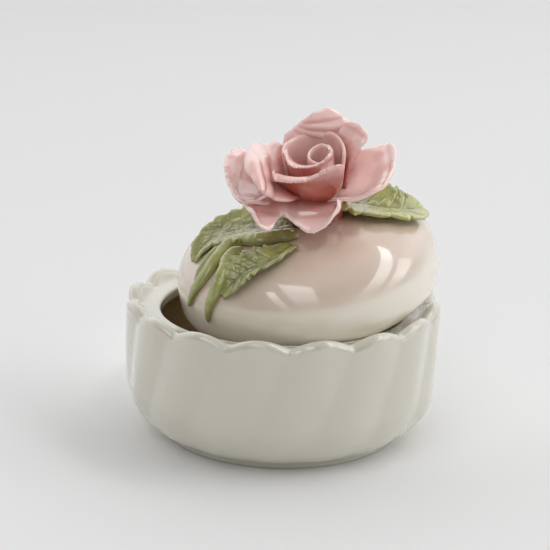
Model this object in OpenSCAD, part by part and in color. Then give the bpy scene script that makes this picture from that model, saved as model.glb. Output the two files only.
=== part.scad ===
// Porcelain trinket box: a fluted bowl and a loose domed lid that carries a
// hand-built rose with three leaves and three stems.
// Millimetres, +Z up. The origin is the centre of the foot, on the surface
// the bowl stands on. The front of the box faces -Y.
// The lid is drawn as it lies at rest: askew, one side dropped in the opening.

/* [Bowl] */
// Outer diameter over the crests of the flutes
bowl_d = 80; // [76:1:84]
// Height of the rim at a crest
bowl_h = 35; // [33:0.5:38]
// How much lower the rim is between two crests
rim_wave = 2.3; // [0.5:0.1:3]
// Number of swirled flutes
flutes = 16; // [12:1:20]
// Depth of a flute
flute_depth = 1.2; // [0.4:0.1:1.8]
// Turn of the flutes from rim to foot, degrees
flute_swirl = 19; // [0:1:30]
// Thickness of the rounded rim
rim_t = 3.2; // [2.6:0.1:3.6]

/* [Opening and cavity] */
// Diameter of the round opening
opening_d = 62; // [58:0.5:63]
// Height of the ledge at the opening
ledge_h = 31.8; // [30:0.2:32.4]
// Thickness of the floor
floor_t = 3; // [2.5:0.1:5]

/* [Foot] */
// Outer diameter of the foot ring
foot_d = 62; // [58:0.5:64]
// Height of the foot ring
foot_h = 1.6; // [1.2:0.1:2.4]
// Width of the foot ring
foot_w = 3.5; // [2.5:0.1:5]

/* [Lid] */
// Largest diameter of the lid
lid_d = 67; // [65:0.5:68]
// Height of the dome above the largest diameter
dome_h = 17; // [15:0.5:19]
// Squareness of the dome: 2 is an ellipse
dome_n = 3.1; // [2.4:0.1:3.4]
// Depth of the rounded underside below the largest diameter
under_h = 5.9; // [4.5:0.1:6.5]
// Wall thickness of the lid
lid_wall = 3; // [2.4:0.1:3.6]
// Outer diameter of the locating flange
flange_d = 54; // [50:0.5:55]
// Depth of the locating flange
flange_h = 2.6; // [1.5:0.1:2.8]

/* [How the lid lies] */
// Tilt of the lid, degrees
lid_tilt = 14; // [13:0.5:15]
// Direction of the low side, degrees from +X
lid_low_az = 220; // [210:1:230]
// Height of the middle of the lid
lid_z = 38.15; // [38.15:0.05:45]

/* [Rose] */
// Size of the rose, 1 is a rose about 42 mm across
rose_size = 1; // [0.9:0.01:1.03]
// Thickness of a petal at its base
petal_t = 1.5; // [1.2:0.1:2]
// Thickness of a petal at its edge
edge_t = 0.8; // [0.6:0.1:1.2]
// Tilt of the rose towards the front, degrees
rose_tilt = 24; // [15:1:30]

/* [Leaves and stems] */
// Thickness of a leaf
leaf_t = 1.1; // [0.8:0.1:1.6]
// Diameter of the long stem
stem_d = 4; // [3.4:0.1:4.4]

/* [Hidden] */

// Colours
C_bowl = "#e9e6da";
C_lid = "#e6d9cf";
C_rose = "#dfa09a";
C_rose_deep = "#cf8a84";
C_leaf = "#97a070";
C_stem = "#8f9a64";

// Bowl
bowl_r = bowl_d/2;
foot_r = foot_d/2;
hole_r = opening_d/2;
cusp_az = 273.2;          // azimuth of one low point of the rim
cols = 6*flutes;          // columns of the fluted skin

// Lid
lid_r = lid_d/2;
lid_x = 6.5;              // how far the lid has slid to the right
lid_y = 4;                // and to the back
under_r = 0.83*lid_r;     // inner end of the rounded underside
flange_r = flange_d/2;

// Rose
rose_at = [7.8, 0.5, 53.5];
rose_az = 268;

function clamp(x) = min(1, max(0, x));
function mix(a, b, t) = a + (b - a)*t;
function ease(t) = let(c = clamp(t)) c*c*(3 - 2*c);
function unit(v) = v/norm(v);
function spin(p, a) = [p.x*cos(a) - p.y*sin(a), p.x*sin(a) + p.y*cos(a), p.z];
function tip(p, a) = [p.x*cos(a) + p.z*sin(a), p.y, -p.x*sin(a) + p.z*cos(a)];
function lean(p, a, az) = spin(tip(spin(p, -az), a), az);

// ---------------------------------------------------------------- bowl
// 1 on a crest, close to 0 in the sharp hollow between two crests
function flute(a) = sqrt(pow(sin((a - cusp_az)*flutes/2), 2) + 0.01)/sqrt(1.01);
// Radius of the smooth wall at height z
function wall_r(z) = let(t = clamp((z - foot_h)/12))
    foot_r + 0.5 + (bowl_r - foot_r - 0.5)*pow(1 - pow(1 - t, 2), 0.75);
// Radius of the fluted wall
function skin_r(z, a) =
    wall_r(z) - flute_depth*min(1, 0.3 + 0.7*(z - foot_h)/8)
    *(1 - flute(a + flute_swirl*(bowl_h - z)/bowl_h));
function rim_z(a) = bowl_h - rim_wave*(1 - flute(a));
function rim_c(a) = skin_r(bowl_h, a) - rim_t/2;

// Outer skin: wall, rounded rim and dished ledge, one ring of points per row
wall_rows = 11;
lip = [25, 60, 90, 120, 150];
function ring_point(k, a) =
    k <= wall_rows
      ? let(z = mix(foot_h, rim_z(a) - rim_t/2, sin(90*k/wall_rows)))
        [skin_r(z, a), z]
    : k <= wall_rows + len(lip)
      ? let(b = lip[k - wall_rows - 1])
        [rim_c(a) + rim_t/2*cos(b), rim_z(a) - rim_t/2 + rim_t/2*sin(b)]
    : let(t = [0.35, 0.72, 1, 1.12, 1.3][k - wall_rows - len(lip) - 1],
          s = [rim_c(a) + rim_t/2*cos(150), rim_z(a) - rim_t/2 + rim_t/2*sin(150)],
          e = [hole_r + 1.3, ledge_h])
      t <= 1
        ? [mix(s[0], e[0], t), mix(mix(s[1], ledge_h + 0.6, clamp(3*t)), e[1], t)]
        : [hole_r + 1.3 - (t - 1)*5, ledge_h - (t - 1)*1.6];
n_rows = wall_rows + len(lip) + 6;

module bowl_skin() {
    points = concat(
        [for (k = [0:n_rows - 1]) for (i = [0:cols - 1])
            let(a = i*360/cols, q = ring_point(k, a))
            [q[0]*cos(a), q[0]*sin(a), q[1]]],
        [[0, 0, foot_h], [0, 0, ledge_h - 1]]);
    c0 = n_rows*cols;
    faces = concat(
        [for (k = [0:n_rows - 2]) for (i = [0:cols - 1])
            let(j = (i + 1)%cols) [k*cols + i, (k + 1)*cols + i, (k + 1)*cols + j]],
        [for (k = [0:n_rows - 2]) for (i = [0:cols - 1])
            let(j = (i + 1)%cols) [k*cols + i, (k + 1)*cols + j, k*cols + j]],
        [for (i = [0:cols - 1]) [(i + 1)%cols, c0, i]],
        [for (i = [0:cols - 1]) let(k = (n_rows - 1)*cols)
            [k + i, c0 + 1, k + (i + 1)%cols]]);
    polyhedron(points, faces, convexity = 6);
}

// Cavity under the ledge, a body of revolution
module bowl_cavity() {
    wall = bowl_r - 4.3;
    base = foot_h + floor_t;
    rotate_extrude($fn = 96)
        polygon(concat(
            [[0, base]],
            [for (b = [0:15:90])
                [wall - 6 + 6*sin(b), base + 6 - 6*cos(b)]],
            [[wall, ledge_h - 5.6], [hole_r, ledge_h - 2.9],
             [hole_r, bowl_h + 5], [0, bowl_h + 5]]));
}

module foot_ring() {
    rotate_extrude($fn = 96)
        polygon([[foot_r - foot_w, foot_h + 1], [foot_r - foot_w, 0.3],
                 [foot_r - foot_w + 0.4, 0], [foot_r - 0.4, 0],
                 [foot_r, 0.3], [foot_r, foot_h + 1]]);
}

module bowl() {
    color(C_bowl)
    union() {
        difference() {
            bowl_skin();
            bowl_cavity();
        }
        foot_ring();
    }
}

// ----------------------------------------------------------------- lid
// Place something drawn in the lid's own frame, origin at the centre of its
// largest circle
module at_lid() {
    translate([lid_x, lid_y, lid_z])
        rotate([0, 0, lid_low_az]) rotate([0, lid_tilt, 0])
            rotate([0, 0, -lid_low_az]) children();
}

module lid() {
    m = 26;
    ri = lid_r - lid_wall;
    hi = dome_h - lid_wall;
    outer = [for (i = [0:m]) let(a = 90*(1 - i/m))
        [lid_r*pow(max(0, cos(a)), 2/dome_n), dome_h*pow(sin(a), 2/dome_n)]];
    under = [for (b = [12:13:90])
        [under_r + (lid_r - under_r)*cos(b), -under_h*sin(b)]];
    flange = [[flange_r, -under_h], [flange_r, -under_h - flange_h + 0.5],
              [flange_r - 0.5, -under_h - flange_h],
              [flange_r - 2.3, -under_h - flange_h],
              [flange_r - 2.8, -under_h - flange_h + 0.5],
              [flange_r - 2.8, -under_h + 0.8], [flange_r + 1.2, -3]];
    inner = [for (i = [0:m]) let(a = 90*i/m)
        [ri*pow(max(0, cos(a)), 2/dome_n), hi*pow(sin(a), 2/dome_n)]];
    color(C_lid) at_lid()
        rotate_extrude($fn = 128)
            polygon(concat(outer, under, flange, inner));
}

// --------------------------------------------------------- thin shells
// A closed shell about the surface f(u, v), u from -1 to 1, v from 0 to 1
function slope(f, u, v) = unit(cross(f(u + 0.01, v) - f(u - 0.01, v),
                                     f(u, v + 0.01) - f(u, v - 0.01)));
module shell(f, t0, t1, nu, nv) {
    grid = [for (j = [0:nv]) for (i = [0:nu])
        let(u = 2*i/nu - 1, v = j/nv, p = f(u, v), n = slope(f, u, v),
            h = mix(t0, t1, max(v, pow(abs(u), 3)))/2)
        [p + n*h, p - n*h]];
    n = (nu + 1)*(nv + 1);
    points = concat([for (g = grid) g[0]], [for (g = grid) g[1]]);
    function id(i, j) = j*(nu + 1) + i;
    faces = concat(
        [for (j = [0:nv - 1]) for (i = [0:nu - 1])
            [id(i, j), id(i, j + 1), id(i + 1, j + 1)]],
        [for (j = [0:nv - 1]) for (i = [0:nu - 1])
            [id(i, j), id(i + 1, j + 1), id(i + 1, j)]],
        [for (j = [0:nv - 1]) for (i = [0:nu - 1])
            [n + id(i, j), n + id(i + 1, j + 1), n + id(i, j + 1)]],
        [for (j = [0:nv - 1]) for (i = [0:nu - 1])
            [n + id(i, j), n + id(i + 1, j), n + id(i + 1, j + 1)]],
        [for (i = [0:nu - 1]) [id(i, 0), id(i + 1, 0), n + id(i + 1, 0)]],
        [for (i = [0:nu - 1]) [id(i, 0), n + id(i + 1, 0), n + id(i, 0)]],
        [for (i = [0:nu - 1]) [id(i, nv), n + id(i + 1, nv), id(i + 1, nv)]],
        [for (i = [0:nu - 1]) [id(i, nv), n + id(i, nv), n + id(i + 1, nv)]],
        [for (j = [0:nv - 1]) [id(0, j), n + id(0, j + 1), id(0, j + 1)]],
        [for (j = [0:nv - 1]) [id(0, j), n + id(0, j), n + id(0, j + 1)]],
        [for (j = [0:nv - 1]) [id(nu, j), id(nu, j + 1), n + id(nu, j + 1)]],
        [for (j = [0:nv - 1]) [id(nu, j), n + id(nu, j + 1), n + id(nu, j)]]);
    polyhedron(points, faces, convexity = 8);
}

// -------------------------------------------------------------- petals
// Every petal follows the same rule, in the frame of the rose:
//   az      azimuth of its middle; 270 is the front
//   r0, z0  where its base starts, from the axis and above the lid
//   len     length along its middle
//   a0, a1  lean from the rose's axis at base and edge; bend the lean added
//           beyond the fraction b0 of the length
//   w0, w1  half width at the base and at its widest, reached at fraction wp
//   k0, k1  curvature across, at base and edge; grow is how much it tightens
//           from one side to the other, as in a spiral
//   rd, rp  how much shorter the petal is at its sides, and how suddenly
//   jag     size of the uneven bites in its edge
//   turn    lean added from one side to the other
//   skew    drift to one side towards the edge; shift moves the whole petal
//   root    how far the base runs on below r0, z0, as a fraction of len
//   lip     angle by which the last few millimetres are folded outwards
//   edge    extra length across the petal, a smooth curve from side to side
function petal_lean(p, t, u, full) = let(
    a0 = p[4], a1 = p[5], bend = p[6], b0 = p[7], lip = p[21], lip_l = 3.2/p[3])
    mix(a0, a1, t) + bend*pow(max(0, (t - b0)/(1 - b0)), 2) + p[16]*u*t
    + (lip == 0 ? 0
       : lip*ease((t/full - 1 + lip_l)/lip_l*1.5)*(1 - ease((abs(u) - 0.7)/0.3)));
steps = 16;
function petal_sum(p, t, u, full, k = 0) = k == steps ? [0, 0]
    : let(a = petal_lean(p, t*(k + 0.5)/steps, u, full))
      [sin(a), cos(a)] + petal_sum(p, t, u, full, k + 1);
arcs = 10;
function across(p, u, b, k = 0) = k == arcs ? [0, 0]
    : let(q = u*(k + 0.5)/arcs, a = b*(q + p[19]*q*q/2))
      [cos(a), sin(a)] + across(p, u, b, k + 1);
function petal_point(p, u, v0) = let(
    len = p[3], w0 = p[8], w1 = p[9], wp = p[10], k0 = p[11], k1 = p[12],
    rd = p[13], rp = p[14], jag = p[15], root = p[20], edge = p[22],
    v = (1 - (1 - v0)*pow(abs(1 - v0), 0.5))*(1 + root) - root,
    bite = jag*(sin(1300*u) + 0.6*sin(2210*u + 40))*pow(max(0, v), 3),
    full = 1 - rd*pow(abs(u), rp) + curve(edge, (u + 1)/2)/len,
    t = v*full + bite/len,
    c = [p[1], p[2]] + petal_sum(p, t, u, full)*len*t/steps,
    a = petal_lean(p, t, u, full),
    w = mix(w0, w1, sin(90*clamp(v/wp))),
    k = mix(k0, k1, v),
    q = across(p, u, w*k*180/PI)*u*w/arcs,
    x = q[0] + p[17]*pow(max(0, t), 1.5) + p[18])
    lean(spin([c[0] - q[1]*cos(a), x, c[1] + q[1]*sin(a)], p[0]), rose_tilt, rose_az);

module petal(p, nu = 16, nv = 10, col = C_rose, t0 = petal_t, t1 = edge_t) {
    color(col) translate(rose_at) scale(rose_size)
        shell(function(u, v) petal_point(p, u, v), t0, t1, nu, nv);
}

//             az   r0    z0  len   a0   a1 bend  b0   w0   w1  wp    k0    k1
//             rd   rp  jag turn skew shift grow root lip edge
P_heart =   [ 190, 2.6,  6, 15.2,  -2,  -1, 12, .85, 7.9, 7.9, .3, .385, .36,
             0,    2, .05, -4,  .4,    0, .12, 0,   0, [-.1, .3, 0, -.4, .3]];
P_scroll =  [ 261, 6.3,  6, 18.3,   1,   7, -4, .86,   8, 9.2, .3, .18, .186,
             .04,  2, .10, -3, -1.4,   0,  .3, 0,  80, [-.9, -.7, .3, .1, -1.4]];
P_in_back = [  85, 5.2,  6, 17.2,   1,  12,-11, .80,  10,  12, .4, .17, .133,
             .03,2.2, .10, -1,   1,    0,   0, 0,   0, [.3, 1.2, -.1, -1, 0]];
P_in_front =[ 256, 7.1, 12, 15.9,  48,  -3,-17, .82, 3.5, 8.5, .7, .06, .056,
             .04,  2, .12,-20,  .6,    0,   0,.35, 80, [-.6, -.8, -.5, .6, 1.4]];
P_left_in = [ 184, 5.2, 13, 16.6,  50,  26, 70, .70, 6.5,  13, .6, .047,-.028,
             .18,2.6, .12,-22,   8,    0,   0, .3,  0, [-.9, .4, 1, 1.2, 1.3]];
P_left_out =[ 183, 6.7,6.5, 19.1,  70,  51,-38, .70,   7,11.9, .5, .10, .046,
             .06,2.6, .20, -2,  .6,    0,   0, 0,   0, [.1, 1.1, .3, -.5, 1]];
P_back =    [  87, 7.3,  0, 29.8,  -1,  -5, 41, .70, 5.5,  10,.55, .09,-.077,
             .35,1.4, .10, -4, -1.6,   0,   0, 0,   0, [0, 0, 0]];
P_back_r =  [  32,   6, 13, 14.6,  16,  20, 21, .65, 5.5, 3.6, .5, .075, .04,
             .14,2.4, .10,-17, -1.8,   0,   0, .6,  0, [.1, -.3, .2, -.3, .1]];
P_right =   [ 347, 4.7, 11, 18.4,  60,  51,-34, .70, 7.5,10.6, .5, .063, .038,
             .11,  3, .10, -6, -1.4,   1,   0, .2,  0, [.7, .9, -.1, .3, -1.6]];
P_front =   [ 271, 8.5,13.7, 8.2,  94, 113,  0, .60,10.5,11.7, .3,-.008, .088,
             .03,2.6, .15,  0,   0, -5.5,   0, .5,  0,
             [1.4, 2, 1.7, -3.2, -.6, 1.9, 2, .8, -1.2]];

module petal_heart() petal(P_heart, 26, 7, C_rose_deep, 0.95, edge_t);
module petal_inner_scroll() petal(P_scroll, 20, 12, C_rose_deep, 1.1, edge_t);
module petal_inner_back() petal(P_in_back, 18, 8, C_rose, 1.1, edge_t);
module petal_inner_front() petal(P_in_front, 16, 13, C_rose, 1.2, edge_t);
module petal_left_inner() petal(P_left_in);
module petal_left_outer() petal(P_left_out);
module petal_back() petal(P_back, 16, 12);
module petal_back_right() petal(P_back_r);
module petal_right() petal(P_right);
module petal_front() petal(P_front, 20, 8);

// The pad of clay that holds the petals: a pear-shaped body of revolution
module rose_receptacle() {
    color(C_rose_deep) translate(rose_at)
        rotate([0, 0, rose_az]) rotate([0, rose_tilt, 0]) rotate([0, 0, -rose_az])
            scale(rose_size)
            rotate_extrude($fn = 48)
                polygon([[0, -4], [7.2, -4], [7.0, -1], [6.8, 2], [6.6, 5],
                         [6.2, 8], [5.2, 10], [3.4, 11.4], [1.6, 12], [0, 12.2]]);
}

// ----------------------------------------------------- leaves and stems
// A point h above the dome, in direction az, psi degrees from the lid's axis
function dome_rho(psi) = psi < 90
    ? pow(pow(sin(psi)/lid_r, dome_n) + pow(cos(psi)/dome_h, dome_n), -1/dome_n)
    : pow(pow(sin(psi)/lid_r, 2) + pow(cos(psi)/(1.35*under_h), 2), -1/2);
function dome_rz(psi) = dome_rho(psi)*[sin(psi), cos(psi)];
function dome_n2(psi) = let(t = dome_rz(psi + 0.4) - dome_rz(psi - 0.4), l = norm(t))
    [-t[1]/l, t[0]/l];
function on_dome(az, psi, h) = let(q = dome_rz(psi) + h*dome_n2(psi))
    [q[0]*cos(az), q[0]*sin(az), q[1]];
function from_lid(p) = [lid_x, lid_y, lid_z] + lean(p, lid_tilt, lid_low_az);

// Smooth curve through a few hand-set rows of numbers, t from 0 to 1
function row(a, i) = i < 0 ? 2*a[0] - a[1]
    : i >= len(a) ? 2*a[len(a) - 1] - a[len(a) - 2] : a[i];
function curve(a, t) = let(
    x = clamp(t)*(len(a) - 1), i = min(floor(x), len(a) - 2), f = x - i,
    p = row(a, i - 1), q = row(a, i), r = row(a, i + 1), s = row(a, i + 2))
    0.5*(2*q + (r - p)*f + (2*p - 5*q + 4*r - s)*f*f + (3*q - p - 3*r + s)*f*f*f);
function on_path(path, t) = let(q = curve(path, t)) on_dome(q[0], q[1], q[2]);

// Leaf: a path of [azimuth, psi, height above the dome], half widths along it,
// number and depth of the teeth, rise of the left and right edges, and how far
// the two halves are folded up
function leaf_point(path, widths, teeth, bite, left, right, fold, u, v) = let(
    t = 0.01 + 0.98*v,
    p = on_path(path, t),
    along = unit(on_path(path, t + 0.02) - on_path(path, t - 0.02)),
    q = curve(path, t),
    up = unit(on_dome(q[0], q[1], 1) - on_dome(q[0], q[1], 0)),
    side = unit(cross(up, along)),
    n = teeth*t,
    saw = n - floor(n),
    half = max(0.35, curve(widths, clamp(t))
        + bite*(saw - 0.6)*ease((abs(u) - 0.5)/0.5)*min(1, 4*(1 - t))*min(1, 5*t)),
    rise = (u < 0 ? left : right)*pow(abs(u), 1.7)*pow(sin(180*clamp(t)), 0.7))
    from_lid(p + side*u*half + up*(rise + fold*abs(u)*half/3));

module leaf(path, widths, teeth, bite, left, right, fold) {
    color(C_leaf)
        shell(function(u, v) leaf_point(path, widths, teeth, bite, left, right, fold, u, v),
              leaf_t, leaf_t*0.8, 8, 30);
}

//         azimuth psi  height
L_left =  [[250, 26, 0.7], [212, 33, 0.8], [194, 44, 0.9], [191, 56, 0.9],
           [199, 66, 0.5]];
L_front = [[266, 46, 0.8], [252, 55, 0.9], [241, 61, 0.9], [236, 66, 0.8],
           [231, 73, 0.5]];
L_right = [[ 22, 34, 0.6], [  2, 44, 1.0], [ -5, 53, 1.2], [ -4, 62, 1.5],
           [  5, 70, 2.2]];

module leaf_left() leaf(L_left, [4.2, 6.6, 7.8, 6.8, 4.2, 0.6], 10, 1.5, 2, .3, .3);
module leaf_front() leaf(L_front, [1.6, 3.6, 4.8, 5.0, 4.0, 1.0], 8, 1.2, .9, 1.8, .6);
module leaf_right() leaf(L_right, [3, 6.6, 7.6, 7.2, 5.6, 1.6], 7, 1.9, .3, 2.8, .3);

// Stem: a round tube along a path on the dome, thinner towards its tip
module stem(path, d0, d1, rings = 16, sides = 10) {
    pts = [for (k = [0:rings]) let(
        t = k/rings,
        p = on_path(path, t),
        along = unit(on_path(path, t + 0.01) - on_path(path, t - 0.01)),
        q = curve(path, t),
        up = unit(on_dome(q[0], q[1], 1) - on_dome(q[0], q[1], 0)),
        side = unit(cross(up, along)),
        up2 = cross(along, side),
        r = mix(d0, d1, pow(t, 3))/2)
        for (i = [0:sides - 1]) let(b = 360*i/sides)
            from_lid(p + r*(cos(b)*side + sin(b)*up2))];
    n = (rings + 1)*sides;
    points = concat(pts, [from_lid(on_path(path, 0)), from_lid(on_path(path, 1))]);
    faces = concat(
        [for (k = [0:rings - 1]) for (i = [0:sides - 1]) let(j = (i + 1)%sides)
            [k*sides + i, (k + 1)*sides + i, (k + 1)*sides + j]],
        [for (k = [0:rings - 1]) for (i = [0:sides - 1]) let(j = (i + 1)%sides)
            [k*sides + i, (k + 1)*sides + j, k*sides + j]],
        [for (i = [0:sides - 1]) [(i + 1)%sides, n, i]],
        [for (i = [0:sides - 1]) [rings*sides + i, n + 1, rings*sides + (i + 1)%sides]]);
    color(C_stem) polyhedron(points, faces, convexity = 6);
}

S_long =  [[270, 37, 0.8], [249, 37, 1.0], [233, 42, 1.2], [217, 45, 1.2],
           [210, 50, 1.2], [214, 58, 1.1], [216, 67, 0.9], [213, 74, 0.7],
           [209, 82, 0.4]];
S_short = [[226, 51, 1.4], [224, 57, 1.3], [227, 62, 1.2], [228, 67, 1.1],
           [227, 73, 0.9], [225, 77, 0.7], [223, 85, 0.4]];
S_side =  [[205, 54, 1.0], [208, 61, 0.8], [209, 66, 0.6], [211, 71, 0.4]];

module stem_long() stem(S_long, stem_d, 1.3, 30);
module stem_short() stem(S_short, stem_d, 1.1, 20);
module stem_side() stem(S_side, 0.5*stem_d, 1.0, 8);

bowl();
lid();
rose_receptacle();
petal_heart();
petal_inner_scroll();
petal_inner_back();
petal_inner_front();
petal_left_inner();
petal_left_outer();
petal_back();
petal_back_right();
petal_right();
petal_front();
leaf_left();
leaf_front();
leaf_right();
stem_long();
stem_short();
stem_side();
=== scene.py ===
import bpy, math
import numpy as np
from mathutils import Matrix, Vector


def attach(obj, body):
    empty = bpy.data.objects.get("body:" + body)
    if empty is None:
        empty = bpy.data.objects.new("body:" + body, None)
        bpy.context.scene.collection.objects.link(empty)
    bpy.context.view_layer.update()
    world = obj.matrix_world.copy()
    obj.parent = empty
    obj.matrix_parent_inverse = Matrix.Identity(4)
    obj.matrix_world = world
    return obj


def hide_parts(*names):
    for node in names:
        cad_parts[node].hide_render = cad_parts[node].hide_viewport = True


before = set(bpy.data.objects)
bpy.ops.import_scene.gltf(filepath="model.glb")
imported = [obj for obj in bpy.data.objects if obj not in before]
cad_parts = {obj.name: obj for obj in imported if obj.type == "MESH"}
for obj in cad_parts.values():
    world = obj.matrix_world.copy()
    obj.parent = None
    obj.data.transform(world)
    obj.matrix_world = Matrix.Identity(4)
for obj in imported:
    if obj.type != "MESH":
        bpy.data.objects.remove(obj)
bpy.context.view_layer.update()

MM = 0.001
rad = np.radians


# ------------------------------------------------------------------ helpers
def rotz(a):
    a = math.radians(a)
    return np.array([[math.cos(a), -math.sin(a), 0], [math.sin(a), math.cos(a), 0], [0, 0, 1]])


def roty(a):
    a = math.radians(a)
    return np.array([[math.cos(a), 0, math.sin(a)], [0, 1, 0], [-math.sin(a), 0, math.cos(a)]])


def unit(v):
    return v / np.maximum(np.linalg.norm(v, axis=-1, keepdims=True), 1e-12)


def smooth(x):
    x = np.clip(x, 0, 1)
    return x * x * (3 - 2 * x)


def noise1(x, seed, octaves=3):
    """Smooth seeded noise along one axis, about -1 to 1."""
    out, amp, tot = 0, 1.0, 0.0
    for k in range(octaves):
        rs = np.random.RandomState(seed * 31 + k)
        tab = rs.uniform(-1, 1, 512)
        y = x * 2 ** k + 100
        i = np.floor(y).astype(int)
        f = smooth(y - i)
        out = out + amp * (tab[i % 512] * (1 - f) + tab[(i + 1) % 512] * f)
        tot += amp
        amp *= 0.55
    return out / tot


def noise2(x, y, seed):
    rs = np.random.RandomState(seed)
    tab = rs.uniform(-1, 1, (64, 64))
    i, j = np.floor(x).astype(int), np.floor(y).astype(int)
    f, g = smooth(x - i), smooth(y - j)
    a = tab[i % 64, j % 64] * (1 - f) + tab[(i + 1) % 64, j % 64] * f
    b = tab[i % 64, (j + 1) % 64] * (1 - f) + tab[(i + 1) % 64, (j + 1) % 64] * f
    return a * (1 - g) + b * g


def curve_rows(rows, t):
    """Catmull-Rom through given rows, t from 0 to 1."""
    a = np.asarray(rows, float)
    n = len(a) - 1
    t = np.asarray(t, float)
    x = np.clip(t, 0, 1) * n
    i = np.minimum(x.astype(int), n - 1)
    f = (x - i)[..., None]

    def g(k):
        k = k[..., None]
        return np.where(k < 0, 2 * a[0] - a[1], np.where(k > n, 2 * a[n] - a[n - 1], a[np.clip(k[..., 0], 0, n)]))

    p, q, r, s = g(i - 1), g(i), g(i + 1), g(i + 2)
    return 0.5 * (2 * q + (r - p) * f + (2 * p - 5 * q + 4 * r - s) * f * f + (3 * q - p - 3 * r + s) * f ** 3)


def make(name, verts, faces, mat, tones=None, sub=0):
    me = bpy.data.meshes.new(name)
    me.from_pydata([tuple(v) for v in np.asarray(verts) * MM], [], faces)
    me.validate()
    me.update()
    for p in me.polygons:
        p.use_smooth = True
    if tones is not None:
        for key, val in tones.items():
            at = me.attributes.new(key, "FLOAT", "POINT")
            at.data.foreach_set("value", np.asarray(val, np.float32).ravel())
    ob = bpy.data.objects.new(name, me)
    bpy.context.scene.collection.objects.link(ob)
    me.materials.append(mat)
    if sub:
        m = ob.modifiers.new("smooth", "SUBSURF")
        m.levels = m.render_levels = sub
    return ob


def stands_for(ob, node, body):
    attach(ob, body)
    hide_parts(node)


def revolve(rings, cols):
    """Skin between rings of (cols, 3) points, closed round each ring; both ends are left open."""
    verts = np.concatenate(rings)
    faces = []
    for k in range(len(rings) - 1):
        for i in range(cols):
            j = (i + 1) % cols
            faces.append((k * cols + i, k * cols + j, (k + 1) * cols + j, (k + 1) * cols + i))
    return verts, faces


def thin_shell(P, th, r_edge=None, wmm=None, lmm=None, us=None, vs=None):
    """Closed shell about the surface grid P (nv, nu, 3): rounded, thinning to nothing at its border."""
    nv, nu = P.shape[:2]
    du = np.gradient(P, axis=1)
    dv = np.gradient(P, axis=0)
    N = unit(np.cross(du, dv))
    # distance of every grid point to the border, along the surface
    su = np.linalg.norm(np.diff(P, axis=1), axis=-1)
    left = np.concatenate([np.zeros((nv, 1)), np.cumsum(su, 1)], 1)
    right = left[:, -1:] - left
    sv = np.linalg.norm(np.diff(P, axis=0), axis=-1)
    low = np.concatenate([np.zeros((1, nu)), np.cumsum(sv, 0)], 0)
    high = low[-1:, :] - low
    d = np.minimum(np.minimum(left, right), np.minimum(low, high))
    r = th * 1.3
    h = th / 2 * np.sqrt(np.clip(1 - (1 - np.minimum(d, r) / r) ** 2, 0, 1))
    top = P + N * h[..., None]
    bot = P - N * h[..., None]
    idx_t = np.arange(nv * nu).reshape(nv, nu)
    inner = np.zeros((nv, nu), bool)
    inner[1:-1, 1:-1] = True
    idx_b = idx_t.copy()
    idx_b[inner] = nv * nu + np.arange(inner.sum())
    verts = np.concatenate([top.reshape(-1, 3), bot[inner]])
    a, b, c, e = idx_t[:-1, :-1], idx_t[:-1, 1:], idx_t[1:, 1:], idx_t[1:, :-1]
    f1 = np.stack([a, b, c, e], -1).reshape(-1, 4)
    a, b, c, e = idx_b[:-1, :-1], idx_b[:-1, 1:], idx_b[1:, 1:], idx_b[1:, :-1]
    f2 = np.stack([e, c, b, a], -1).reshape(-1, 4)
    return verts, [tuple(map(int, f)) for f in np.concatenate([f1, f2])], inner


def spread(vals, inner):
    return np.concatenate([vals.reshape(-1), vals[inner]])


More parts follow.
